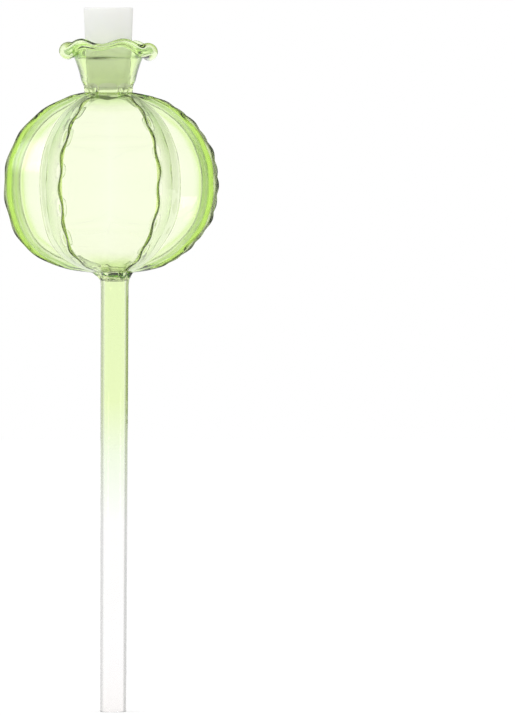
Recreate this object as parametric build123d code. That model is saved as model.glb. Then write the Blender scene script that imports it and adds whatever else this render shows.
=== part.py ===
"""Hand-blown glass watering globe: a feed stem that is pushed into the soil, a hollow globe
with eight ribs like a cactus, a crimped glass thread on each rib, a filling neck with a
ruffled rim, and a tapered silicone stopper that pulls out of the neck.

Lengths are in millimetres and angles in degrees. +Z is up, -Y is the front, and the origin
is the centre of the stem's open tip. Every piece is centred on the Z axis.
"""

from build123d import *
import os
from math import asin, atan2, cos, hypot, pi, radians, sin

# Feed stem
stem_diameter = 10.8
stem_wall = 1.3
stem_length = 172.8
stem_tip_round = 0.3
stem_collar_height = 1.8
stem_collar_bulge = 0.5

# Globe
globe_diameter = 88.6
globe_height = 75.4
globe_fullness = 2.2
globe_wall = 1.4
rib_count = 8
rib_depth = 6.5
rib_crest_wall = 2.6
front_panel_angle = 50.0
stem_funnel_height = 3.2
stem_funnel_diameter = 18.0
station_count = 11

# Crimped thread along the crest of each rib
thread_diameter = 1.7
thread_clearance = 0.02
thread_start_radius = 13.0
crimp_pitch = 14.0
crimp_sway = 0.5
crimp_lift = 0.5
points_per_crimp = 4

# Filling neck
neck_height = 13.6
neck_wall = 1.4
neck_seat_height = 5.0
neck_top_diameter = 27.2
neck_waist = 0.5

# Ruffled rim
rim_diameter = 39.6
rim_bead_diameter = 2.6
rim_rise = 5.5
rim_curl = 0.7
ruffle_count = 6
ruffle_height = 1.5
ruffle_turn = -9.0
side_droop = 2.3
stations_per_ruffle = 6

# Stopper
stopper_length = 32.0
stopper_top_diameter = 19.8
stopper_tip_diameter = 17.3
stopper_lift = 2.0
stopper_edge_round = 0.8
stopper_clearance = 0.1

# Heights and radii that follow from the sizes above
stem_radius = stem_diameter / 2
stem_bore_radius = stem_radius - stem_wall
globe_bottom = stem_length
globe_top = globe_bottom + globe_height
globe_radius = globe_diameter / 2
stopper_bottom = globe_top + stopper_lift
stopper_slope = (stopper_top_diameter - stopper_tip_diameter) / 2 / stopper_length
stopper_tip_radius = stopper_tip_diameter / 2
rim_crease = globe_top + neck_height
rim_bead_radius = rim_bead_diameter / 2


def seat_radius(height):
    """Radius of the neck's bore that the stopper wedges in, at a height."""
    return stopper_tip_radius + stopper_slope * (height - stopper_bottom) + stopper_clearance


neck_bore_radius = seat_radius(globe_top)
neck_base_radius = neck_bore_radius + neck_wall
side_panel_angle = (360 - 2 * front_panel_angle) / (rib_count - 2)


def polar(radius, angle, height):
    """Point at a radius, an angle from the front towards +X, and a height."""
    turn = radians(angle)
    return Vector(radius * sin(turn), -radius * cos(turn), height)


def crest_angles():
    """Angles of the rib crests. The front and back panels are wider than the others."""
    angles = []
    for side in range(2):
        first = front_panel_angle / 2 + 180 * side
        for step in range(rib_count // 2):
            angles.append(first + side_panel_angle * step)
    return angles


class Bulb:
    """One face of the globe's wall: a ribbed bulb that narrows to the neck and the stem."""

    def __init__(self, wall, crest_wall, neck_joint, stem_joint):
        self.radius = globe_radius - crest_wall
        self.depth = rib_depth - crest_wall + wall
        self.neck_joint = neck_joint
        self.stem_joint = stem_joint
        self.funnel_radius = stem_funnel_diameter / 2 - wall
        self.funnel_top = globe_bottom + stem_funnel_height + wall
        self.middle = (globe_top + globe_bottom + stem_funnel_height) / 2
        self.first = asin((neck_joint / self.radius) ** (globe_fullness / 2))
        self.last = pi - asin((self.funnel_radius / self.radius) ** (globe_fullness / 2))
        self.rise = self.reach(globe_top - wall, self.first)
        self.drop = self.reach(self.funnel_top, self.last)

    def reach(self, height, swing):
        """Half height of the rounded ellipse that passes a height at its joint's swing."""
        return abs(height - self.middle) / abs(cos(swing)) ** (2 / globe_fullness)

    def crest(self, share):
        """Crest radius and height, from the neck at share 0 to the stem's funnel at 1."""
        swing = self.first + (self.last - self.first) * share
        across = self.radius * sin(swing) ** (2 / globe_fullness)
        along = abs(cos(swing)) ** (2 / globe_fullness)
        if cos(swing) > 0:
            return across, self.middle + self.rise * along
        return across, self.middle - self.drop * along

    def valley_radius(self, crest, share):
        """Radius of the valleys at a crest radius. The ribs fade out at both joints."""
        joint = self.neck_joint + (self.funnel_radius - self.neck_joint) * share
        relief = max(crest ** 2 - joint ** 2, 0) / self.radius ** 2
        return crest - self.depth * relief ** 0.5

    def section(self, crest, valley, height):
        """Closed section of the bulb: one arc for each panel, from rib to rib."""
        arcs = []
        angles = crest_angles()
        for angle, following in zip(angles, angles[1:] + [angles[0] + 360]):
            left = polar(crest, angle, height)
            dip = polar(valley, (angle + following) / 2, height)
            right = polar(crest, following, height)
            arcs.append(ThreePointArc(left, dip, right))
        return Wire(arcs)

    def solid(self):
        """Filled bulb through all its sections."""
        sections = [self.section(self.neck_joint, self.neck_joint, globe_top)]
        for number in range(1, station_count):
            share = number / station_count
            crest, height = self.crest(share)
            sections.append(self.section(crest, self.valley_radius(crest, share), height))
        for radius, height in ((self.funnel_radius, self.funnel_top), (self.stem_joint, globe_bottom)):
            sections.append(self.section(radius, radius, height))
        return Solid.make_loft(sections)


outer_bulb = Bulb(0, 0, neck_base_radius, stem_radius + stem_collar_bulge)
inner_bulb = Bulb(globe_wall, rib_crest_wall, neck_bore_radius, stem_bore_radius)


def crest_run():
    """Points of radius, height and distance along a rib's crest, where the thread lies."""
    fine_steps = station_count ** 2 * points_per_crimp
    run = []
    distance = 0
    for number in range(fine_steps):
        radius, height = outer_bulb.crest(number / fine_steps)
        if radius < thread_start_radius:
            continue
        if run:
            distance += hypot(radius - run[-1][0], height - run[-1][1])
        run.append((radius, height, distance))
    return run


def thread_centres():
    """Centres along a thread on the +X side, swaying and lifting once in each crimp."""
    run = crest_run()
    centres = []
    for (radius, height, distance), ahead in zip(run, run[1:]):
        if distance < len(centres) * crimp_pitch / points_per_crimp:
            continue
        slope = atan2(ahead[1] - height, ahead[0] - radius)
        wave = 2 * pi * distance / crimp_pitch
        lift = thread_diameter / 2 + thread_clearance + crimp_lift * (1 - cos(wave)) / 2
        centres.append(Vector(
            radius - lift * sin(slope), crimp_sway * sin(wave), height + lift * cos(slope)
        ))
    return centres


def make_thread():
    """Trail of glass along the crest on the +X side, pinched into waves."""
    spine = Spline(thread_centres())
    start = Plane(spine @ 0, z_dir=spine % 0)
    return Solid.sweep(Wire.make_circle(thread_diameter / 2, start), Wire([spine]))


def rim_height(angle):
    """Height of the rim's bead above the crease: six ruffles, drooping at both sides."""
    wave = cos(radians(ruffle_count * (angle - ruffle_turn)))
    return rim_rise - ruffle_height * wave - side_droop * sin(radians(angle)) ** 2


def neck_section(angle):
    """Section of the neck and its rim in the upright half plane at an angle."""

    def at(radius, height):
        return polar(radius, angle, height)

    seat_top = globe_top + neck_seat_height
    crease_radius = neck_top_diameter / 2
    bead_across = rim_diameter / 2 - rim_bead_radius
    bead_up = rim_crease + rim_height(angle)
    flare = atan2(bead_up - rim_crease, bead_across - crease_radius + neck_wall / 2)
    grip = asin(neck_wall / rim_bead_diameter)

    def bead(turn):
        return at(bead_across + rim_bead_radius * cos(turn), bead_up + rim_bead_radius * sin(turn))

    base_out = at(neck_base_radius, globe_top)
    waist = at(
        (neck_base_radius + crease_radius) / 2 - neck_waist, (globe_top + rim_crease) / 2
    )
    crease_out = at(crease_radius, rim_crease)
    crease_in = at(crease_radius - neck_wall, rim_crease)
    seat_in = at(seat_radius(seat_top), seat_top)
    base_in = at(neck_bore_radius, globe_top)
    bead_under = bead(flare + pi + grip)
    bead_over = bead(flare + pi - grip)
    curl = polar(rim_curl * sin(flare), angle, -rim_curl * cos(flare))
    return Wire([
        Line(base_in, base_out),
        ThreePointArc(base_out, waist, crease_out),
        ThreePointArc(crease_out, (crease_out + bead_under) / 2 + curl, bead_under),
        ThreePointArc(bead_under, bead(flare), bead_over),
        ThreePointArc(bead_over, (bead_over + crease_in) / 2 + curl, crease_in),
        Line(crease_in, seat_in),
        Line(seat_in, base_in),
    ])


def make_neck():
    """Funnel neck and ruffled rim, through upright sections all the way round."""
    stations = ruffle_count * stations_per_ruffle
    sections = [neck_section(360 * number / stations) for number in range(stations)]
    return Solid.make_loft(sections + [sections[0]])


def make_stem():
    """Straight tube with a fire-polished tip and a slight collar where it is fused on."""
    collar_bottom = stem_length - stem_collar_height
    collar_radius = stem_radius + stem_collar_bulge
    bore_bottom = Vector(stem_bore_radius, 0, 0)
    tip = Vector(stem_radius, 0, 0)
    collar_start = Vector(stem_radius, 0, collar_bottom)
    collar_swell = Vector(collar_radius, 0, collar_bottom + stem_collar_height / 2)
    top_out = Vector(collar_radius, 0, stem_length)
    top_in = Vector(stem_bore_radius, 0, stem_length)
    outline = Wire([
        Line(bore_bottom, tip),
        Line(tip, collar_start),
        Line(collar_start, collar_swell),
        Line(collar_swell, top_out),
        Line(top_out, top_in),
        Line(top_in, bore_bottom),
    ])
    tube = revolve(Face(outline), Axis.Z)
    tip_edges = tube.edges().filter_by(GeomType.CIRCLE).group_by(Axis.Z)[0]
    return fillet(tip_edges, stem_tip_round)


def make_stopper():
    """Tapered silicone plug with softly rounded ends, seated in the neck."""
    bottom = Vector(0, 0, stopper_bottom)
    tip = Vector(stopper_tip_radius, 0, stopper_bottom)
    top_edge = Vector(stopper_top_diameter / 2, 0, stopper_bottom + stopper_length)
    top = Vector(0, 0, stopper_bottom + stopper_length)
    outline = Wire([Line(bottom, tip), Line(tip, top_edge), Line(top_edge, top), Line(top, bottom)])
    plug = revolve(Face(outline), Axis.Z)
    return fillet(plug.edges().filter_by(GeomType.CIRCLE), stopper_edge_round)


parts = {
    "stem_tube": make_stem(),
    "ribbed_globe": outer_bulb.solid() - inner_bulb.solid(),
    "ruffled_neck": make_neck(),
    "stopper": make_stopper(),
}
thread = make_thread()
for number, angle in enumerate(crest_angles(), start=1):
    parts[f"rib_thread_{number}"] = Rot(0, 0, angle - 90) * thread

os.makedirs("parts", exist_ok=True)
for name, shape in parts.items():
    export_step(shape, f"parts/{name}.step")
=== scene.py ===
"""Green blown-glass watering globe with crimped ribs, a ruffled neck, a drawn stem that fades
from green to clear, and a white silicone stopper, on a white studio floor.

Lengths are in millimetres and angles in degrees, where nothing else is said. +Z is up, -Y is the
front, and the origin is the centre of the stem's open tip.
"""

from collections import namedtuple
from math import asin, atan2, cos, degrees, exp, floor, hypot, pi, radians, sin

import bmesh
import bpy
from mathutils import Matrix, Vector
from mathutils.kdtree import KDTree


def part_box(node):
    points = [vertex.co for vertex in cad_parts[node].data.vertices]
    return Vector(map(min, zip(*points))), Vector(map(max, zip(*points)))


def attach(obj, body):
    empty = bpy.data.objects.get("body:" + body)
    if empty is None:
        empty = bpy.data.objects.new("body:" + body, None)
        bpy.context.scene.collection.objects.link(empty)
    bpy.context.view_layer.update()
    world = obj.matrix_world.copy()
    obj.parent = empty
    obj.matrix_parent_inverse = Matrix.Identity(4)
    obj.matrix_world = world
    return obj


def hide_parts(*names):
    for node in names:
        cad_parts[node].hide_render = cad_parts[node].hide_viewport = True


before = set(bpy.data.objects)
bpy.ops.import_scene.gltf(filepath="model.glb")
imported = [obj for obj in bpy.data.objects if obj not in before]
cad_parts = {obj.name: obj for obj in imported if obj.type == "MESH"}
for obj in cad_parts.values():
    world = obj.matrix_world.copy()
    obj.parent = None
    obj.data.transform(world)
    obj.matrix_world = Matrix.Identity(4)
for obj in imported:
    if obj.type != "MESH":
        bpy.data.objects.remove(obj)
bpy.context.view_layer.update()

MM = 0.001


def height_range(name):
    """Lowest and highest point of a CAD node."""
    low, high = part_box(name)
    return low[2] / MM, high[2] / MM


STEM_TOP = height_range("stem_tube")[1]
GLOBE_BOTTOM, GLOBE_TOP = height_range("ribbed_globe")
RIM_TOP = height_range("ruffled_neck")[1]
PLUG_BOTTOM, PLUG_TOP = height_range("stopper")

# Stem: its radius at the tip, how much wider it is under the collar, and its bore, and the share
# by which the painted shade along its edges is fainter on the left.
STEM_RADIUS = 5.3
STEM_TAPER = 0.25
STEM_BORE = 4.1
STEM_TIP_ROUND = 0.5
STEM_TIP_BAND = 4 * STEM_TIP_ROUND
STEM_LEFT_SHADE_FADE = 0.2
STEM_COLLAR = 0.25
STEM_COLLAR_HEIGHT = 2.4

# Globe: fullness is the exponent of its rounded outline, sharpness that of the panels' V, and the
# valley fade that of the radius, by which the valleys are shallower where the globe is narrower
CREST_RADIUS = 44.3
UPPER_FULLNESS = 2.05
LOWER_FULLNESS = 2.3
GLOBE_WALL = 1.5
FRONT_PANEL = 53.0
VALLEY_DEPTH = 6.5
VALLEY_SHARPNESS = 1.3
INNER_SHARPNESS = 1.6
VALLEY_FADE = 0.8

# Funnel that joins the globe to the stem, and the weld at its foot
FUNNEL_HEIGHT = 3.2
FUNNEL_RADIUS = 9.0
FUNNEL_TOP = GLOBE_BOTTOM + FUNNEL_HEIGHT
FUNNEL_SAG = 0.3
INNER_FUNNEL_SAG = 0.5
WELD_GLASS = 1.6
WELD_GAP = 0.03
WELD_LINE = 0.85

# Heights and radii between which the ribs and their threads rise and fade
RIB_FULL_ABOVE = FUNNEL_TOP + 2.0
RIB_FADE_ABOVE = GLOBE_TOP - 1.0
RIB_TOP = GLOBE_TOP + 5.0
THREAD_FULL_RADIUS = FUNNEL_RADIUS + 8.0

# Crimped thread on each crest, from the front right rib round towards +X: where its first crimp
# is, its height between and at the crimps, its half width, the glass behind it, how dark its line
# of painted shade is between the crimps, the line's half width, and how green the glass is beside
# it, partly painted shade
Rib = namedtuple("Rib", "first_crimp low high half_width glass line line_width tint")
RIBS = (
    Rib(0.3, 0.1, 0.45, 0.28, 0.6, 0.95, 0.32, 0.0),
    Rib(10.7, 1.2, 2.5, 1.0, 1.3, 0.9, 0.65, 1.0),
    Rib(5.1, 1.2, 1.8, 1.0, 1.3, 0.6, 0.5, 1.0),
    Rib(8.4, 0.1, 0.45, 0.34, 0.6, 0.4, 0.3, 0.0),
    Rib(2.2, 0.1, 0.45, 0.34, 0.6, 0.4, 0.3, 0.0),
    Rib(6.9, 1.1, 1.3, 1.0, 1.3, 0.6, 0.5, 1.0),
    Rib(3.6, 1.1, 1.3, 1.0, 1.3, 0.85, 0.6, 1.0),
    Rib(0.6, 0.1, 0.45, 0.28, 0.6, 0.95, 0.32, 0.0),
)
RIB_COUNT = len(RIBS)

# Waves of the threads: the lag of the sway behind the pinch is in radians, and a slower sway, of
# so many crimps, runs through it, turned by so many radians from one rib to the next
CRIMP_PITCH = 14.3
PINCH_SHARPNESS = 1.5
CRIMP_SWAY = 0.55
SWAY_LAG = 0.6
SLOW_SWAY = 0.35
SLOW_PITCH = CRIMP_PITCH * 2.7
SLOW_TURN = 1.3
PULL_HALF_WIDTH = 1.2

# Line of painted dark shade along a thread, cut off at full strength, and the green on its crest
# and in a band beside it, partly painted shade
LINE_STRENGTH = 2.2
CREST_TINT = 0.55
TINT_PLACE = 4.3
TINT_HALF_WIDTH = 1.2

# Neck, from its base up to the crease where the rim flares out
NECK_BASE = 10.1
NECK_BORE = 8.67
NECK_WALL = 1.4
NECK_WAIST = 0.5
THROAT = GLOBE_TOP - GLOBE_WALL
THROAT_TOP = GLOBE_TOP + 1.0
SEAT_HEIGHT = 5.0
SEAT_TOP_RADIUS = 8.87
CREASE_HEIGHT = 13.6
CREASE_RADIUS = 13.6
CREASE = GLOBE_TOP + CREASE_HEIGHT
CREASE_OUT = (CREASE_RADIUS, CREASE)
CREASE_IN = (CREASE_RADIUS - NECK_WALL, CREASE)

# Ruffled rim. The damping is the share of their height that the ruffles lose at both sides.
RIM_RADIUS = 19.8
RIM_BOTTOM = CREASE - 1.0
RIM_TILT = 0.3
RUFFLE_COUNT = 6
RUFFLE_HEIGHT = 1.2
RUFFLE_TURN = -9.0
RUFFLE_DAMPING = 0.85
DAMPING_POWER = 4

# Painted dark shade lines of the rim: along the crease, strongest at its turn and opposite to
# that, with the spread as a sine, and along the lip's edge, fading between two shares of the way
# to the side
CREASE_LINE = 0.97
CREASE_TURN = -15.0
CREASE_SPREAD = 0.42
LIP_LINE = 0.6
LIP_LINE_FADES = 0.05
LIP_LINE_ENDS = 0.8

# Rolled lip of the rim at the front and at the sides: the height of the roll's centre above the
# crease, the roll's radius, the thickness of its glass, the angles where the roll starts and ends,
# and how far the flare below it bows
Lip = namedtuple("Lip", "rise roll glass start end bow")
FRONT_LIP = Lip(5.3, 0.9, 1.2, 120.0, -70.0, 1.0)
SIDE_LIP = Lip(2.7, 2.75, 1.5, 150.0, -95.0, 0.15)
LIP_TOP = CREASE + FRONT_LIP.rise

# How far the hand-made axis strays to the side: of the stem at its tip and at the weld, the globe,
# its belly beyond the rest of it, and the neck. The weld, the belly and the start of the shoulder
# lie at shares of the globe's height, and the shoulder takes up the neck's lean between two radii.
STEM_TIP_LEAN = 0.2
STEM_LEAN = 0.9
WELD_SHARE = 0.09
GLOBE_LEAN = -0.7
BELLY_LEAN = -1.2
BELLY_PLACE = 0.17
BELLY_SPREAD = 0.12
NECK_LEAN = -1.6
SHOULDER_START = 0.5
SHOULDER_INNER_RADIUS = NECK_BASE + 1.0
SHOULDER_OUTER_RADIUS = NECK_BASE + 10.0

# Stopper
PLUG_TIP_RADIUS = 8.65
PLUG_TOP_RADIUS = 9.9
PLUG_EDGE_ROUND = 0.5

# Mesh fineness. The crowding of the steps is a share of one step's width, and the bearing error is
# the share of a panel that rounding may take from a bearing on a rib.
SHARP_ANGLE = radians(40)
MERGE_DISTANCE = 0.0001
BEARING_ERROR = 1e-6
STEPS_PER_PANEL = 38
THREAD_CROWDING = 0.45
CREASE_CROWDING = 0.4
BULB_STEPS = 96
NECK_STEPS = 26
FLARE_STEPS = 12
ROLL_STEPS = 14
TIP_STEPS = 6
NECK_BORE_STEPS = 10
SEAT_STEPS = 7
FUNNEL_STEPS = 8
STEM_SIDES = 128
STEM_STEPS = 30
STEM_COLLAR_STEPS = 6
STEM_TOP_STEPS = 2
STEM_BAND_STEPS = 4
STEM_ROUND_STEPS = 5
PLUG_SIDES = 96
PLUG_STEPS = 24
PLUG_END_STEPS = 6
FLOOR_SIDES = 96

# Glass. A colour ramp's stops are shares of a height with the colour there. The slant colour
# deepens the face colour where the wall is looked through aslant, partly as the deeper colour of
# glass seen through at a slant and partly as painted shade, and the outline colour darkens its
# edge as painted shade. A wall tint and shade gives the facings where the slant starts and ends
# and the outline starts. The depth density is per metre of glass.
WHITE = (1.0, 1.0, 1.0)
GLASS_IOR = 1.47
WallTintAndShade = namedtuple("WallTintAndShade", "slant_start slant_end outline_start")

GLOBE_FACE = (
    (0.0, (0.97, 1.0, 0.87)), (0.11, (0.99, 1.0, 0.94)), (0.74, (0.99, 1.0, 0.94)),
    (0.81, (0.91, 1.0, 0.73)), (0.91, (0.91, 1.0, 0.73)), (0.96, (0.90, 1.0, 0.72)),
)
# Slant colours of the globe: partly the deeper colour of glass seen aslant, partly painted shade,
# near black on the neck
GLOBE_SLANT_TINT_AND_SHADE = (
    (0.0, (0.75, 0.90, 0.50)), (0.15, (0.85, 0.95, 0.72)), (0.31, (0.42, 0.62, 0.20)),
    (0.57, (0.42, 0.62, 0.20)), (0.68, (0.70, 0.88, 0.58)), (0.76, (0.85, 0.95, 0.72)),
    (0.83, (0.10, 0.17, 0.05)), (0.90, (0.10, 0.17, 0.05)), (0.93, (0.25, 0.42, 0.14)),
)
# Outline colour of the globe: painted shade at its edge
GLOBE_OUTLINE_SHADE = ((0.02, (0.50, 0.66, 0.34)), (0.10, (0.12, 0.20, 0.08)))
GLOBE_TINT_AND_SHADE = WallTintAndShade(0.43, 0.69, 0.60)
# Deeper green beside the side ribs: partly the thicker glass there, partly painted shade of the
# walls seen edge-on
DEEP_AND_SIDE_SHADE_GREEN = (0.60, 0.88, 0.24)
# Near black of the painted shade lines on the threads and the rim, and of the dark weld line
SHADE_LINE_AND_WELD_COLOUR = (0.001, 0.002, 0.0005)
DEPTH_COLOUR = (0.81, 0.94, 0.30)
DEPTH_DENSITY = 60.0

STEM_FACE = (
    (0.0, (0.96, 0.945, 0.94)), (0.16, (0.985, 0.98, 0.98)), (0.44, (0.995, 0.995, 0.99)),
    (0.60, (0.94, 0.985, 0.87)), (0.72, (0.90, 0.97, 0.71)), (1.0, (0.89, 0.965, 0.70)),
)
# Slant and outline colours of the stem: painted shade along its sides
STEM_SLANT_SHADE = ((0.42, (0.36, 0.36, 0.35)), (0.72, (0.18, 0.25, 0.06)))
STEM_OUTLINE_SHADE = (0.6, 0.6, 0.6)
STEM_EDGE_SHADE = WallTintAndShade(0.29, 0.45, 0.9)

# Bumps of a noise texture, whose scale is per metre and whose depth is in metres
Bumps = namedtuple("Bumps", "scale detail roughness distortion strength depth")
GLOBE_RIPPLES = Bumps(70.0, 1.5, 0.4, 0.3, 0.12, 0.001)
STEM_RIPPLES = Bumps(160.0, 1.5, 0.4, 0.3, 0.05, 0.001)
SILICONE_GRAIN = Bumps(2600.0, 2.0, 0.5, 0.0, 0.15, 0.0002)

# Sockets of a Mix node by number, because some of them share a name: its factor, its two numbers
# and its two colours, and its results
MIX_FACTOR = 0
MIX_NUMBERS = (2, 3)
MIX_COLOURS = (6, 7)
MIX_NUMBER_RESULT = 0
MIX_COLOUR_RESULT = 2

# Silicone: the two tones of its clouds, whose scale is per metre, and a brighter white inside the
# neck, painted light that makes up for the shade of the glass around it. Light spreads in it as
# far as the depth, in metres, times the reach of red, green and blue.
SILICONE_COOL = (0.88, 0.90, 0.88)
SILICONE_WARM = (0.92, 0.91, 0.87)
SILICONE_PAINTED_LIGHT_INSIDE = (0.98, 0.99, 0.97)
SILICONE_ROUGHNESS = 0.42
SILICONE_SOFTNESS = 0.5
SILICONE_DEPTH = 0.004
SILICONE_REACH = (1.0, 1.0, 0.9)
CLOUD_SCALE = 90.0
CLOUD_DETAIL = 3.0

# Floor, with its radius in metres
FLOOR_RADIUS = 6.0
FLOOR_ALBEDO = 0.6
FLOOR_ROUGHNESS = 0.9
FLOOR_GLOW = 0.44

# Light tent. The ceiling darkens between two elevations. The dark card fills the directions whose
# nearness to its bearing, as a cosine, lies above the second of two bounds.
WORLD_LEVEL = 0.96
TENT_LEVEL = 1.02
CEILING_LEVEL = 0.85
CEILING_START = 50.0
CEILING_FULL = 70.0
DARK_BEARING = 72.0
DARK_LEVEL = 0.08
DARK_START = 0.55
DARK_FULL = 0.85
WINDOW_BEARING = -166.0
WINDOW_ELEVATION = 27.0
WINDOW_HALF_WIDTH = 4.0
WINDOW_HALF_HEIGHT = 7.0
WINDOW_SOFTNESS = 14.0
WINDOW_LEVEL = 5.0

# Lamps, in metres and watts
Lamp = namedtuple("Lamp", "name place aim size power")
LAMPS = (
    Lamp("left_softbox", (-1.1, -0.55, 0.75), (0, 0, 0.2), (0.5, 0.7), 3.0),
    Lamp("right_softbox", (0.9, -0.9, 0.5), (0, 0, 0.2), (0.3, 0.3), 1.5),
    Lamp("low_softbox", (0.4, -0.14, 0.08), (0.032, -0.022, 0.203), (0.07, 0.09), 0.06),
)

# Camera, in metres, with a sensor in millimetres
CAMERA_DISTANCE = 5.0
CAMERA_SIDE = 0.0581
CAMERA_HEIGHT = 0.2
CAMERA_AIM = 0.142
FRAME_HEIGHT = 0.2865
SENSOR_HEIGHT = 36.0
CLIP_START = 0.01

# How often a ray may pass or mirror in the glass
GLASS_BOUNCES = 24
GLOSSY_BOUNCES = 12


def crest_angles():
    """Angles of the rib crests, from the front towards +X."""
    side_panel = (360 - 2 * FRONT_PANEL) / (RIB_COUNT - 2)
    angles = []
    for side in range(2):
        for step in range(RIB_COUNT // 2):
            angles.append(FRONT_PANEL / 2 + 180 * side + side_panel * step)
    return angles


CRESTS = crest_angles()


def smooth(low, high, value):
    """Smooth step from 0 at low to 1 at high."""
    share = min(max((value - low) / (high - low), 0), 1)
    return share * share * (3 - 2 * share)


def bell(offset, spread):
    """Bell curve: 1 at no offset, fading over the spread to both sides."""
    return exp(-((offset / spread) ** 2))


def between(start, end, share):
    """Value at a share of the way from start to end."""
    return start + (end - start) * share


def arc(start, middle, end, steps):
    """Points on the circle through three points, without the first one."""
    (ax, ay), (bx, by), (cx, cy) = start, middle, end
    d = 2 * (ax * (by - cy) + bx * (cy - ay) + cx * (ay - by))
    a2, b2, c2 = ax * ax + ay * ay, bx * bx + by * by, cx * cx + cy * cy
    ux = (a2 * (by - cy) + b2 * (cy - ay) + c2 * (ay - by)) / d
    uy = (a2 * (cx - bx) + b2 * (ax - cx) + c2 * (bx - ax)) / d
    radius = hypot(ax - ux, ay - uy)
    first = atan2(ay - uy, ax - ux)
    half = (atan2(by - uy, bx - ux) - first + pi) % (2 * pi) - pi
    rest = (atan2(cy - uy, cx - ux) - first - half + pi) % (2 * pi) - pi
    points = []
    for step in range(1, steps + 1):
        turn = first + (half + rest) * step / steps
        points.append((ux + radius * cos(turn), uy + radius * sin(turn)))
    return points


def line(start, end, steps):
    """Evenly spaced points on a line, without the first one."""
    (ax, ay), (bx, by) = start, end
    return [
        (ax + (bx - ax) * step / steps, ay + (by - ay) * step / steps)
        for step in range(1, steps + 1)
    ]


def bulb_arc(radius, neck_joint, top, funnel_radius, bottom):
    """Points down a rounded ellipse from the neck's joint to the stem's funnel."""
    over, under = 2 / UPPER_FULLNESS, 2 / LOWER_FULLNESS
    middle = (top + bottom) / 2
    first = asin((neck_joint / radius) ** (1 / over))
    last = pi - asin((funnel_radius / radius) ** (1 / under))
    rise = (top - middle) / cos(first) ** over
    drop = (middle - bottom) / abs(cos(last)) ** under
    points = []
    for step in range(1, BULB_STEPS + 1):
        swing = first + (last - first) * step / BULB_STEPS
        if cos(swing) > 0:
            across = radius * sin(swing) ** over
            height = middle + rise * cos(swing) ** over
        else:
            across = radius * sin(swing) ** under
            height = middle - drop * abs(cos(swing)) ** under
        points.append((across, height))
    return points


def crest_arc():
    """Points down the outside of the globe along its crests."""
    return bulb_arc(CREST_RADIUS, NECK_BASE, GLOBE_TOP, FUNNEL_RADIUS, FUNNEL_TOP)


def lip_profile(lip):
    """Outline of the flare and the rolled lip: out from the crease to the lip's edge, and back."""
    hollow, back = lip.roll - lip.glass / 2, lip.roll + lip.glass / 2
    centre = (RIM_RADIUS - back, CREASE + lip.rise)
    flare = atan2(lip.rise, centre[0] - CREASE_RADIUS + NECK_WALL / 2)
    curl = (lip.bow * sin(flare), -lip.bow * cos(flare))
    start, end = radians(lip.start), radians(lip.end)

    def on_roll(radius, turn):
        return (centre[0] + radius * cos(turn), centre[1] + radius * sin(turn))

    def rolled(radius, first, last):
        turns = [first + (last - first) * step / ROLL_STEPS for step in range(1, ROLL_STEPS + 1)]
        return [on_roll(radius, turn) for turn in turns]

    def bowed(a, b):
        return ((a[0] + b[0]) / 2 + curl[0], (a[1] + b[1]) / 2 + curl[1])

    under, over = on_roll(hollow, start), on_roll(back, start)
    edge = on_roll(lip.roll, end)
    tip = (edge[0] + lip.glass / 2 * sin(end), edge[1] - lip.glass / 2 * cos(end))
    outside = arc(CREASE_OUT, bowed(CREASE_OUT, under), under, FLARE_STEPS)
    outside += rolled(hollow, start, end)
    outside += arc(outside[-1], tip, on_roll(back, end), TIP_STEPS)
    inside = rolled(back, end, start)
    inside += arc(over, bowed(over, CREASE_IN), CREASE_IN, FLARE_STEPS)
    return outside, inside


def blown_profile(lip):
    """Closed outline of the wall: up the outside from the weld, over the rim, down the inside."""
    lip_outside, lip_inside = lip_profile(lip)
    weld = GLOBE_BOTTOM + WELD_GAP
    weld_out = (STEM_RADIUS + STEM_TAPER + STEM_COLLAR, weld)
    funnel_out = ((weld_out[0] + FUNNEL_RADIUS) / 2 - FUNNEL_SAG, GLOBE_BOTTOM + FUNNEL_HEIGHT / 2)
    base_out = (NECK_BASE, GLOBE_TOP)
    waist = ((NECK_BASE + CREASE_RADIUS) / 2 - NECK_WAIST, (GLOBE_TOP + CREASE) / 2)
    outside = [weld_out, funnel_out] + crest_arc()[::-1]
    outside += [base_out] + arc(base_out, waist, CREASE_OUT, NECK_STEPS) + lip_outside

    seat_top = (SEAT_TOP_RADIUS, GLOBE_TOP + SEAT_HEIGHT)
    foot = (FUNNEL_RADIUS - WELD_GLASS, FUNNEL_TOP + WELD_GLASS)
    funnel_in = ((STEM_BORE + foot[0]) / 2 - INNER_FUNNEL_SAG, (weld + foot[1]) / 2)
    inside = lip_inside + line(CREASE_IN, seat_top, NECK_BORE_STEPS)
    inside += line(seat_top, (NECK_BORE, THROAT), SEAT_STEPS)
    inside += bulb_arc(CREST_RADIUS - GLOBE_WALL, NECK_BORE, THROAT, foot[0], foot[1])
    inside += arc(foot, funnel_in, (STEM_BORE, weld), FUNNEL_STEPS)
    return outside, inside


def placed(name, bm):
    """Object in the scene with the mesh that was built."""
    mesh = bpy.data.meshes.new(name)
    bm.to_mesh(mesh)
    bm.free()
    piece = bpy.data.objects.new(name, mesh)
    bpy.context.scene.collection.objects.link(piece)
    return piece


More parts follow.
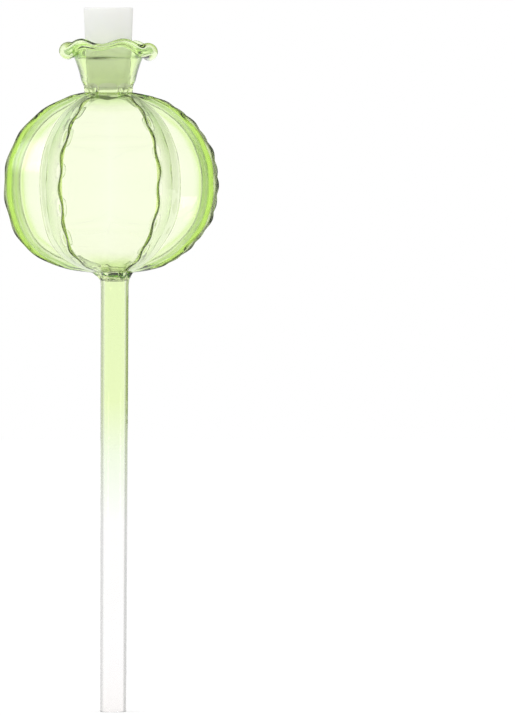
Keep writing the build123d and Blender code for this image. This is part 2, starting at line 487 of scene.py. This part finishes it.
def spun(name, outline, steps, shape):
    """Mesh object from an outline of (radius, height), spun about Z and then shaped. The outline
    is closed, unless it starts and ends on the axis."""
    bm = bmesh.new()
    ring = [bm.verts.new((radius, 0, height)) for radius, height in outline]
    pairs = zip(ring, ring[1:] + ring[:1])
    edges = [bm.edges.new((a, b)) for a, b in pairs if a.co.x or b.co.x]
    bmesh.ops.spin(
        bm, geom=ring + edges, cent=(0, 0, 0), axis=(0, 0, 1), dvec=(0, 0, 0),
        angle=2 * pi, steps=steps, use_merge=True, use_duplicate=False,
    )
    bmesh.ops.remove_doubles(bm, verts=bm.verts, dist=MERGE_DISTANCE)
    shape(bm)
    bmesh.ops.recalc_face_normals(bm, faces=bm.faces)
    bmesh.ops.scale(bm, vec=(MM, MM, MM), verts=bm.verts)
    for face in bm.faces:
        face.smooth = True
    for edge in bm.edges:
        edge.smooth = edge.calc_face_angle(0) < SHARP_ANGLE
    return placed(name, bm)


def crest_distance():
    """Function of height that gives the distance along a crest from the top, by a short table."""
    points = crest_arc()
    total = 0
    table = [(points[0][1], 0)]
    for (r0, z0), (r1, z1) in zip(points, points[1:]):
        total += hypot(r1 - r0, z1 - z0)
        table.append((z1, total))

    def at(height):
        if height >= table[0][0]:
            return 0
        for (z0, d0), (z1, d1) in zip(table, table[1:]):
            if height >= z1:
                return d0 + (d1 - d0) * (z0 - height) / (z0 - z1)
        return table[-1][1]

    return at


def point_finder(outline):
    """Function of radius and height that gives the number of the nearest point of an outline."""
    tree = KDTree(len(outline))
    for number, (radius, height) in enumerate(outline):
        tree.insert((radius, height, 0), number)
    tree.balance()
    return lambda radius, height: tree.find((radius, height, 0))[1]


def crimp(distance, rib):
    """Sideways sway of a rib's thread and how hard it is pinched, at a distance along it."""
    wave = 2 * pi * (distance - RIBS[rib].first_crimp) / CRIMP_PITCH
    slow = 2 * pi * distance / SLOW_PITCH + SLOW_TURN * rib
    pinch = (0.5 + 0.5 * cos(wave)) ** PINCH_SHARPNESS
    sway = CRIMP_SWAY * (sin(wave - SWAY_LAG) + SLOW_SWAY * sin(slow))
    return sway, pinch


# Where a bearing lies: the ribs before and after it, the share of the way from one to the other,
# the angle between the two, and its own angle
Bearing = namedtuple("Bearing", "rib following share span angle")


def bearing_at(x, y):
    """Bearing of a point, with the mesh's even steps crowded at the threads and the creases."""
    turn = (pi / 2 + atan2(y, x)) % (2 * pi)
    panel = turn / (2 * pi) * RIB_COUNT
    before = floor(panel + BEARING_ERROR)
    share = min(max(panel - before, 0), 1)
    share -= THREAD_CROWDING * sin(2 * pi * share) / (2 * pi)
    share -= CREASE_CROWDING * sin(4 * pi * share) / (4 * pi)
    rib = before % RIB_COUNT
    following = (rib + 1) % RIB_COUNT
    span = (CRESTS[following] - CRESTS[rib]) % 360
    return Bearing(rib, following, share, span, CRESTS[rib] + span * share)


def panel_dip(bearing, outside):
    """Depth of a panel's wall below the circle of the crests."""
    share = bearing.share
    edge = abs(2 * share - 1)
    if outside:
        return (1 - edge ** VALLEY_SHARPNESS) * VALLEY_DEPTH
    glass = RIBS[bearing.rib].glass * (1 - share) + RIBS[bearing.following].glass * share
    return glass + (1 - edge ** INNER_SHARPNESS) * (VALLEY_DEPTH - glass)


def rib_relief(height):
    """How far the ribs stand out at a height: fully on the globe, not at the weld or the neck."""
    relief = smooth(GLOBE_BOTTOM, RIB_FULL_ABOVE, height)
    return relief * (1 - smooth(RIB_FADE_ABOVE, RIB_TOP, height))


def ruffle(angle):
    """Rise of the rim at an angle: six ruffles that fade at both sides, and a slight tilt."""
    lobe = -RUFFLE_HEIGHT * cos(radians(RUFFLE_COUNT * (angle - RUFFLE_TURN)))
    across = sin(radians(angle))
    return lobe * (1 - RUFFLE_DAMPING * across ** DAMPING_POWER) - RIM_TILT * across


def lean_at(radius, height):
    """How far the axis of the globe and the neck strays to the side."""
    up = (height - GLOBE_BOTTOM) / (GLOBE_TOP - GLOBE_BOTTOM)
    belly = BELLY_LEAN * bell(up - BELLY_PLACE, BELLY_SPREAD)
    weld = smooth(0, WELD_SHARE, up)
    lean = (GLOBE_LEAN + belly) * weld + STEM_LEAN * (1 - weld)
    if up > SHOULDER_START:
        shoulder = smooth(SHOULDER_INNER_RADIUS, SHOULDER_OUTER_RADIUS, radius) if up < 1 else 0
        lean += (NECK_LEAN - GLOBE_LEAN) * (1 - shoulder)
    return lean


# What a thread does to the wall: how far it pulls it round and lifts it, how dark its line of
# painted shade is, and how green it makes the glass, partly as painted shade
Thread = namedtuple("Thread", "pull lift line tint")


def thread_at(bearing, radius, distance, relief):
    """Thread of the nearest rib, at a distance along it."""
    first_half = bearing.share < 0.5
    near = bearing.rib if first_half else bearing.following
    across = radians(bearing.span * (bearing.share if first_half else 1 - bearing.share)) * radius
    rib = RIBS[near]
    sway, pinch = crimp(distance, near)
    pull = sway * (bell(across, PULL_HALF_WIDTH) * relief)
    relief *= smooth(FUNNEL_RADIUS, THREAD_FULL_RADIUS, radius)
    lift = bell(across, rib.half_width) * relief * between(rib.low, rib.high, pinch)
    # Line of painted dark shade along the crest, and the green beside it, partly painted shade
    stroke = min(LINE_STRENGTH * bell(across, rib.line_width), 1) * relief
    beside = bell(across - TINT_PLACE, TINT_HALF_WIDTH)
    if across < TINT_PLACE:
        beside = max(beside, CREST_TINT)
    return Thread(pull, lift, stroke * between(rib.line, 1, pinch), rib.tint * beside * relief)


def rim_line(number, angle, outside_count):
    """How dark the line of painted shade is at a numbered point of the outline: on both creases,
    and on the lip.
    """
    crease = outside_count - TIP_STEPS - ROLL_STEPS - FLARE_STEPS - 1
    inner_crease = outside_count + ROLL_STEPS + FLARE_STEPS - 1
    if number in (crease, crease + 1, inner_crease - 1, inner_crease):
        return CREASE_LINE * bell(sin(radians(angle - CREASE_TURN)), CREASE_SPREAD)
    if number == outside_count - TIP_STEPS // 2:
        return LIP_LINE * (1 - smooth(LIP_LINE_FADES, LIP_LINE_ENDS, sin(radians(angle)) ** 2))
    return 0


def shape_body(bm, front, side, outside_count):
    """Turns a round bulb into a ribbed one with crimped crests, and ruffles the rim. Marks the
    lines of painted dark shade on the threads and the rim, the dark weld line, the deeper green
    beside the side ribs, which is partly painted shade, and which wall is the inside of the neck."""
    shade_and_weld_layer = bm.verts.layers.float.new("shade_lines_and_weld")
    deep_and_side_shade_layer = bm.verts.layers.float.new("deep_glass_and_side_shade")
    throat = bm.verts.layers.float.new("throat_face")
    distance_at = crest_distance()
    number_at = point_finder(front)
    for vert in bm.verts:
        x, y, height = vert.co
        radius = hypot(x, y)
        number = number_at(radius, height)
        outside = number < outside_count
        vert[throat] = 0 if outside else smooth(THROAT, THROAT_TOP, height)
        lean = lean_at(radius, height)
        bearing = bearing_at(x, y)
        angle = bearing.angle
        relief = rib_relief(height)
        fade = min(radius / CREST_RADIUS, 1) ** VALLEY_FADE
        new_radius = radius - panel_dip(bearing, outside) * fade * relief
        if outside and height < RIB_TOP:
            thread = thread_at(bearing, radius, distance_at(height), relief)
            angle += degrees(thread.pull / radius)
            new_radius += thread.lift
            # Painted dark shade line along the thread; the weld's ring gets the dark weld line
            vert[shade_and_weld_layer] = thread.line if number else WELD_LINE
            # Deeper green beside the side ribs, partly painted shade
            vert[deep_and_side_shade_layer] = thread.tint
        elif height > RIM_BOTTOM:
            # Painted dark shade lines along the rim's creases and the lip's edge
            vert[shade_and_weld_layer] = rim_line(number, angle, outside_count)
            sideways = sin(radians(angle)) ** 2
            new_radius += (side[number][0] - front[number][0]) * sideways
            height += (side[number][1] - front[number][1]) * sideways
            height += ruffle(angle) * smooth(CREASE, LIP_TOP, front[number][1])
        turn = radians(angle)
        vert.co = (new_radius * sin(turn) + lean, -new_radius * cos(turn), height)


def make_body():
    """Globe, neck and rim in one wall of glass, with the crimped threads on its ribs."""
    outside, inside = blown_profile(FRONT_LIP)
    side = sum(blown_profile(SIDE_LIP), [])
    front = outside + inside
    return spun(
        "blown_body", front, RIB_COUNT * STEPS_PER_PANEL,
        lambda bm: shape_body(bm, front, side, len(outside)),
    )


def shape_stem(bm):
    """Leans the stem to the side and marks its outer surface for painted shade along its edges,
    fainter on the left.
    """
    outer = bm.verts.layers.float.new("outer_face_shade")
    for vert in bm.verts:
        radius = hypot(vert.co.x, vert.co.y)
        # Painted edge shade, fainter on the left (-X) side
        left_faded_shade = 1 - STEM_LEFT_SHADE_FADE * (1 - vert.co.x / radius) / 2
        vert[outer] = left_faded_shade * smooth(STEM_BORE, STEM_RADIUS, radius)
        vert.co.x += STEM_TIP_LEAN + (STEM_LEAN - STEM_TIP_LEAN) * vert.co.z / STEM_TOP


def arc_inset(rounding):
    """How far the middle of a rounded corner's arc lies from both of its sides."""
    return rounding * (1 - sin(pi / 4))


def make_stem():
    """Drawn tube with a fire-polished tip and a slight collar under the globe."""
    tip, inset = STEM_TIP_ROUND, arc_inset(STEM_TIP_ROUND)
    top_radius = STEM_RADIUS + STEM_TAPER
    out_low = (STEM_RADIUS, tip)
    in_low = (STEM_BORE, tip)
    in_high = (STEM_BORE, STEM_TOP)
    tip_out = (STEM_RADIUS - tip, 0)
    tip_in = (STEM_BORE + tip, 0)
    outline = [out_low]
    outline += line(out_low, (STEM_RADIUS, STEM_TIP_BAND), STEM_BAND_STEPS)
    outline += line(outline[-1], (top_radius, STEM_TOP - STEM_COLLAR_HEIGHT), STEM_STEPS)
    outline += line(outline[-1], (top_radius + STEM_COLLAR, STEM_TOP), STEM_COLLAR_STEPS)
    outline += line(outline[-1], in_high, STEM_TOP_STEPS)
    outline += line(in_high, (STEM_BORE, STEM_TIP_BAND), STEM_STEPS)
    outline += line(outline[-1], in_low, STEM_BAND_STEPS)
    outline += arc(in_low, (STEM_BORE + inset, inset), tip_in, STEM_ROUND_STEPS)
    outline += line(tip_in, tip_out, 1)
    outline += arc(tip_out, (STEM_RADIUS - inset, inset), out_low, STEM_ROUND_STEPS)[:-1]
    return spun("drawn_stem", outline, STEM_SIDES, shape_stem)


def shape_plug(bm):
    """Moves the plug to the side with the neck that holds it."""
    bmesh.ops.translate(bm, verts=bm.verts, vec=(NECK_LEAN, 0, 0))


def make_stopper():
    """Tapered plug with softly rounded ends."""
    edge, inset = PLUG_EDGE_ROUND, arc_inset(PLUG_EDGE_ROUND)
    low_flat = (PLUG_TIP_RADIUS - edge, PLUG_BOTTOM)
    low_round = (PLUG_TIP_RADIUS - inset, PLUG_BOTTOM + inset)
    low_side = (PLUG_TIP_RADIUS, PLUG_BOTTOM + edge)
    high_side = (PLUG_TOP_RADIUS, PLUG_TOP - edge)
    high_round = (PLUG_TOP_RADIUS - inset, PLUG_TOP - inset)
    high_flat = (PLUG_TOP_RADIUS - edge, PLUG_TOP)
    outline = [(0, PLUG_BOTTOM)]
    outline += line(outline[-1], low_flat, PLUG_END_STEPS)
    outline += arc(low_flat, low_round, low_side, PLUG_END_STEPS)
    outline += line(low_side, high_side, PLUG_STEPS)
    outline += arc(high_side, high_round, high_flat, PLUG_END_STEPS)
    outline += line(high_flat, (0, PLUG_TOP), PLUG_END_STEPS)
    return spun("silicone_stopper", outline, PLUG_SIDES, shape_plug)


def node(tree, kind, **settings):
    """New shader node with its settings."""
    made = tree.nodes.new(kind)
    for name, value in settings.items():
        setattr(made, name, value)
    return made


def fill(tree, socket, value):
    """Links an input socket to a socket, or sets it to a number or a colour."""
    if isinstance(value, tuple):
        socket.default_value = value + (1.0,)
    elif isinstance(value, (int, float)):
        socket.default_value = value
    else:
        tree.links.new(value, socket)


def joined(tree, kind, links=None, values=None, **settings):
    """New shader node with input sockets linked or set by name or number."""
    made = node(tree, kind, **settings)
    for name, socket in (links or {}).items():
        tree.links.new(socket, made.inputs[name])
    for name, value in (values or {}).items():
        made.inputs[name].default_value = value
    return made


def maths(tree, operation, first, second):
    """Result of a Math node on two sockets or numbers."""
    made = node(tree, "ShaderNodeMath", operation=operation)
    fill(tree, made.inputs[0], first)
    fill(tree, made.inputs[1], second)
    return made.outputs[0]


def soft_step(tree, value, low, high, start, end):
    """Smooth step of a socket from start at low to end at high."""
    made = joined(
        tree, "ShaderNodeMapRange", {"Value": value},
        {"From Min": low, "From Max": high, "To Min": start, "To Max": end},
        interpolation_type="SMOOTHSTEP",
    )
    return made.outputs["Result"]


def colours_mixed(tree, share, first, second, blend="MIX"):
    """Colour output of a Mix node whose colours are sockets or tuples."""
    made = node(tree, "ShaderNodeMix", data_type="RGBA", blend_type=blend)
    for slot, value in zip((MIX_FACTOR, *MIX_COLOURS), (share, first, second)):
        fill(tree, made.inputs[slot], value)
    return made.outputs[MIX_COLOUR_RESULT]


def numbers_mixed(tree, share, first, second):
    """Number output of a Mix node on sockets or numbers."""
    made = node(tree, "ShaderNodeMix", data_type="FLOAT")
    for slot, value in zip((MIX_FACTOR, *MIX_NUMBERS), (share, first, second)):
        fill(tree, made.inputs[slot], value)
    return made.outputs[MIX_NUMBER_RESULT]


def colour_ramp(tree, value, stops):
    """Colour ramp of a socket through stops of position and colour."""
    ramp = joined(tree, "ShaderNodeValToRGB", {"Fac": value})
    elements = ramp.color_ramp.elements
    for element, (position, colour) in zip(elements, (stops[0], stops[-1])):
        element.position = position
        element.color = colour + (1.0,)
    for position, colour in stops[1:-1]:
        elements.new(position).color = colour + (1.0,)
    return ramp.outputs["Color"]


def mark(tree, name):
    """Strength of a mark that the shaping left on the mesh."""
    return node(tree, "ShaderNodeAttribute", attribute_name=name).outputs["Fac"]


def object_place(tree):
    """Coordinates on the object."""
    return node(tree, "ShaderNodeTexCoord").outputs["Object"]


def height_share(tree, place, low, high):
    """Share of the way up the object between two heights."""
    split = joined(tree, "ShaderNodeSeparateXYZ", {"Vector": place})
    made = joined(
        tree, "ShaderNodeMapRange", {"Value": split.outputs["Z"]},
        {"From Min": low * MM, "From Max": high * MM},
    )
    return made.outputs["Result"]


def noise_bumps(tree, place, shader, bumps):
    """Bumps of a noise texture in the shader's normal."""
    noise = joined(
        tree, "ShaderNodeTexNoise", {"Vector": place},
        {
            "Scale": bumps.scale, "Detail": bumps.detail,
            "Roughness": bumps.roughness, "Distortion": bumps.distortion,
        },
    )
    bump = joined(
        tree, "ShaderNodeBump", {"Height": noise.outputs["Fac"]},
        {"Strength": bumps.strength, "Distance": bumps.depth},
    )
    tree.links.new(bump.outputs["Normal"], shader.inputs["Normal"])


def wall_tint_and_shade_group():
    """Node group: glass looked through at a slant is deeper in colour, partly as painted shade,
    and dark at its outline as painted shade.
    """
    group = bpy.data.node_groups.new("wall_tint_and_edge_shade", "ShaderNodeTree")
    sockets = group.interface
    for name in ("Face", "Slant", "Outline"):
        sockets.new_socket(name, in_out="INPUT", socket_type="NodeSocketColor")
    for name in ("Facing", "Slant Start", "Slant End", "Outline Start"):
        sockets.new_socket(name, in_out="INPUT", socket_type="NodeSocketFloat")
    sockets.new_socket("Color", in_out="OUTPUT", socket_type="NodeSocketColor")
    source = group.nodes.new("NodeGroupInput").outputs
    target = group.nodes.new("NodeGroupOutput").inputs
    facing = source["Facing"]
    slanted = joined(
        group, "ShaderNodeMapRange",
        {"Value": facing, "From Min": source["Slant Start"], "From Max": source["Slant End"]},
    )
    outlined = joined(
        group, "ShaderNodeMapRange", {"Value": facing, "From Min": source["Outline Start"]},
        interpolation_type="SMOOTHSTEP",
    )
    slant = colours_mixed(group, slanted.outputs["Result"], WHITE, source["Slant"])
    outline = colours_mixed(group, outlined.outputs["Result"], WHITE, source["Outline"])
    deeper = colours_mixed(group, 1.0, source["Face"], slant, "MULTIPLY")
    group.links.new(colours_mixed(group, 1.0, deeper, outline, "MULTIPLY"), target["Color"])
    return group


def tint_and_shade_wall(tree, group, shader, face, slant, outline, tint):
    """Colours the shader by the wall tint and painted shade, which a Layer Weight node feeds."""
    weight = node(tree, "ShaderNodeLayerWeight")
    made = node(tree, "ShaderNodeGroup", node_tree=group)
    inputs = made.inputs
    fill(tree, inputs["Facing"], weight.outputs["Facing"])
    fill(tree, inputs["Face"], face)
    fill(tree, inputs["Slant"], slant)
    fill(tree, inputs["Outline"], outline)
    fill(tree, inputs["Slant Start"], tint.slant_start)
    fill(tree, inputs["Slant End"], tint.slant_end)
    fill(tree, inputs["Outline Start"], tint.outline_start)
    tree.links.new(made.outputs["Color"], shader.inputs["Base Color"])


def new_material(name):
    """Node material with a Principled shader, and its tree and shader."""
    material = bpy.data.materials.new(name)
    material.use_nodes = True
    tree = material.node_tree
    return material, tree, tree.nodes["Principled BSDF"]


def new_glass(name):
    """Material of clear, smooth glass."""
    material, tree, shader = new_material(name)
    shader.inputs["Roughness"].default_value = 0.0
    shader.inputs["IOR"].default_value = GLASS_IOR
    shader.inputs["Transmission Weight"].default_value = 1.0
    return material, tree, shader


def green_glass(tint_and_shade_group):
    """Blown green glass: colour from the depth of glass, deeper where it is looked at aslant,
    partly as painted shade, with lines of painted dark shade on the threads and the rim, a dark
    weld line, a deeper green beside the side ribs that is partly painted shade, and an outline of
    painted shade.
    The inner face of the neck keeps only the face colour."""
    material, tree, shader = new_glass("green_blown_glass")
    place = object_place(tree)
    up = height_share(tree, place, GLOBE_BOTTOM, RIM_TOP)
    face = colour_ramp(tree, up, GLOBE_FACE)
    # Deeper green beside the side ribs, partly painted shade
    face = colours_mixed(tree, mark(tree, "deep_glass_and_side_shade"), face, DEEP_AND_SIDE_SHADE_GREEN)
    # Painted dark shade lines on the threads and the rim, and the dark weld line
    face = colours_mixed(tree, mark(tree, "shade_lines_and_weld"), face, SHADE_LINE_AND_WELD_COLOUR)
    throat = mark(tree, "throat_face")
    # Slant colour, partly painted shade, and outline colour of painted shade
    slant = colours_mixed(tree, throat, colour_ramp(tree, up, GLOBE_SLANT_TINT_AND_SHADE), WHITE)
    outline = colours_mixed(tree, throat, colour_ramp(tree, up, GLOBE_OUTLINE_SHADE), WHITE)
    tint_and_shade_wall(tree, tint_and_shade_group, shader, face, slant, outline, GLOBE_TINT_AND_SHADE)
    noise_bumps(tree, place, shader, GLOBE_RIPPLES)
    absorb = node(tree, "ShaderNodeVolumeAbsorption")
    absorb.inputs["Color"].default_value = DEPTH_COLOUR + (1.0,)
    absorb.inputs["Density"].default_value = DEPTH_DENSITY
    tree.links.new(absorb.outputs["Volume"], tree.nodes["Material Output"].inputs["Volume"])
    return material


def stem_glass(tint_and_shade_group):
    """Drawn tube whose green fades to clear towards the tip, with painted shade along its sides.
    """
    material, tree, shader = new_glass("drawn_stem_glass")
    place = object_place(tree)
    up = height_share(tree, place, 0.0, STEM_TOP)
    face = colour_ramp(tree, up, STEM_FACE)
    # Painted shade along the stem's sides, only on its outer face
    slant = colours_mixed(tree, mark(tree, "outer_face_shade"), WHITE, colour_ramp(tree, up, STEM_SLANT_SHADE))
    tint_and_shade_wall(tree, tint_and_shade_group, shader, face, slant, STEM_OUTLINE_SHADE, STEM_EDGE_SHADE)
    noise_bumps(tree, place, shader, STEM_RIPPLES)
    return material


def silicone():
    """Soft, faintly clouded white silicone, painted a brighter white inside the neck as painted
    light against the shade of the glass around it.
    """
    material, tree, shader = new_material("white_silicone")
    shader.inputs["Roughness"].default_value = SILICONE_ROUGHNESS
    shader.inputs["Subsurface Weight"].default_value = SILICONE_SOFTNESS
    shader.inputs["Subsurface Scale"].default_value = SILICONE_DEPTH
    shader.inputs["Subsurface Radius"].default_value = SILICONE_REACH
    place = object_place(tree)
    clouds = joined(
        tree, "ShaderNodeTexNoise", {"Vector": place},
        {"Scale": CLOUD_SCALE, "Detail": CLOUD_DETAIL},
    )
    colour = colours_mixed(tree, clouds.outputs["Fac"], SILICONE_COOL, SILICONE_WARM)
    buried = height_share(tree, place, LIP_TOP, CREASE)
    # Painted light: a brighter white on the part inside the neck
    colour = colours_mixed(tree, buried, colour, SILICONE_PAINTED_LIGHT_INSIDE)
    tree.links.new(colour, shader.inputs["Base Color"])
    noise_bumps(tree, place, shader, SILICONE_GRAIN)
    return material


def seen_rays(tree, kinds):
    """1 for rays of the named kinds, else 0."""
    light_path = node(tree, "ShaderNodeLightPath")
    seen = light_path.outputs[kinds[0]]
    for kind in kinds[1:]:
        seen = maths(tree, "MAXIMUM", seen, light_path.outputs[kind])
    return seen


def white_floor():
    """Floor that renders white, keeps the shadow, and looks white through glass."""
    material, tree, shader = new_material("white_floor")
    shader.inputs["Base Color"].default_value = (FLOOR_ALBEDO, FLOOR_ALBEDO, FLOOR_ALBEDO, 1)
    shader.inputs["Roughness"].default_value = FLOOR_ROUGHNESS
    shader.inputs["Specular IOR Level"].default_value = 0.0
    shader.inputs["Emission Color"].default_value = WHITE + (1.0,)
    seen = seen_rays(tree, ("Is Camera Ray", "Is Glossy Ray", "Is Transmission Ray"))
    tree.links.new(maths(tree, "MULTIPLY", seen, FLOOR_GLOW), shader.inputs["Emission Strength"])
    return material


def make_floor():
    """Wide round floor under the stem's tip."""
    bm = bmesh.new()
    bmesh.ops.create_circle(bm, cap_ends=True, segments=FLOOR_SIDES, radius=FLOOR_RADIUS)
    floor_piece = placed("studio_floor", bm)
    floor_piece.data.materials.append(white_floor())


def window_side(tree, direction, centre, half_size, level):
    """Softly edged strip of light: a level around a direction, in degrees, and 0 outside it."""
    away = maths(tree, "ABSOLUTE", maths(tree, "SUBTRACT", direction, radians(centre)), 0)
    edge = radians(half_size)
    return soft_step(tree, away, edge, edge + radians(WINDOW_SOFTNESS), level, 0.0)


def window(tree, split):
    """Brightness of the light window, where its two strips cross."""
    azimuth = maths(tree, "ARCTAN2", split.outputs["Y"], split.outputs["X"])
    elevation = maths(tree, "ARCSINE", split.outputs["Z"], 0)
    wide = window_side(tree, azimuth, WINDOW_BEARING, WINDOW_HALF_WIDTH, WINDOW_LEVEL)
    tall = window_side(tree, elevation, WINDOW_ELEVATION, WINDOW_HALF_HEIGHT, 1.0)
    return maths(tree, "MULTIPLY", wide, tall)


def dark_card(tree, split):
    """Brightness of the white tent with the dark card in it."""
    bearing = radians(DARK_BEARING)
    nearness = maths(
        tree, "ADD", maths(tree, "MULTIPLY", split.outputs["X"], cos(bearing)),
        maths(tree, "MULTIPLY", split.outputs["Y"], sin(bearing)),
    )
    return soft_step(tree, nearness, DARK_START, DARK_FULL, 1.0, DARK_LEVEL)


def tent_light(tree, split):
    """Brightness of the tent, with its darker ceiling."""
    elevation = maths(tree, "ARCSINE", split.outputs["Z"], 0)
    start, full = radians(CEILING_START), radians(CEILING_FULL)
    return soft_step(tree, elevation, start, full, TENT_LEVEL, CEILING_LEVEL)


def make_world():
    """White light tent with a darker ceiling. Glossy glass also sees a dark card and a window. A
    ray that is both glossy and transmitted sees the tent."""
    world = bpy.data.worlds.new("light_tent")
    bpy.context.scene.world = world
    world.use_nodes = True
    tree = world.node_tree
    direction = node(tree, "ShaderNodeTexCoord").outputs["Generated"]
    split = joined(tree, "ShaderNodeSeparateXYZ", {"Vector": direction})
    glossy = maths(tree, "ADD", dark_card(tree, split), window(tree, split))
    tent = tent_light(tree, split)
    light_path = node(tree, "ShaderNodeLightPath")
    camera = light_path.outputs["Is Camera Ray"]
    level = maths(tree, "ADD", maths(tree, "MULTIPLY", camera, 1 - WORLD_LEVEL), WORLD_LEVEL)
    level = numbers_mixed(tree, light_path.outputs["Is Glossy Ray"], level, glossy)
    level = numbers_mixed(tree, light_path.outputs["Is Transmission Ray"], level, tent)
    background = tree.nodes["Background"]
    background.inputs["Color"].default_value = WHITE + (1.0,)
    tree.links.new(level, background.inputs["Strength"])


def soft_box(lamp):
    """Area light at a place, turned to a point. Glossy rays pass it by, so no glass mirrors it."""
    data = bpy.data.lights.new(lamp.name, "AREA")
    data.shape = "RECTANGLE"
    data.size, data.size_y = lamp.size
    data.energy = lamp.power
    box = bpy.data.objects.new(lamp.name, data)
    box.location = lamp.place
    reach = Vector(lamp.aim) - Vector(lamp.place)
    box.rotation_euler = reach.to_track_quat("-Z", "Y").to_euler()
    box.visible_glossy = False
    bpy.context.scene.collection.objects.link(box)


def make_camera():
    """Camera in front, as high as the globe, with the object left of the middle."""
    data = bpy.data.cameras.new("camera")
    camera = bpy.data.objects.new("camera", data)
    bpy.context.scene.collection.objects.link(camera)
    camera.location = (CAMERA_SIDE, -CAMERA_DISTANCE, CAMERA_HEIGHT)
    aim = Vector((CAMERA_SIDE, 0, CAMERA_AIM))
    reach = aim - camera.location
    camera.rotation_euler = reach.to_track_quat("-Z", "Y").to_euler()
    data.sensor_fit = "VERTICAL"
    data.sensor_height = SENSOR_HEIGHT
    data.lens = data.sensor_height * reach.length / FRAME_HEIGHT
    data.clip_start = CLIP_START
    bpy.context.scene.camera = camera


def main():
    """Builds the scene."""
    make_camera()
    make_world()
    make_floor()
    for lamp in LAMPS:
        soft_box(lamp)
    tint_and_shade_group = wall_tint_and_shade_group()
    body = make_body()
    body.data.materials.append(green_glass(tint_and_shade_group))
    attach(body, "glass_body")
    threads = [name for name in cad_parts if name.startswith("rib_thread")]
    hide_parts("ribbed_globe", "ruffled_neck", *threads)
    stem = make_stem()
    stem.data.materials.append(stem_glass(tint_and_shade_group))
    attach(stem, "glass_body")
    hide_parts("stem_tube")
    plug = make_stopper()
    plug.data.materials.append(silicone())
    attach(plug, "stopper")
    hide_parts("stopper")
    scene = bpy.context.scene
    scene.view_settings.view_transform = "Standard"
    scene.cycles.max_bounces = GLASS_BOUNCES
    scene.cycles.transmission_bounces = GLASS_BOUNCES
    scene.cycles.glossy_bounces = GLOSSY_BOUNCES


main()
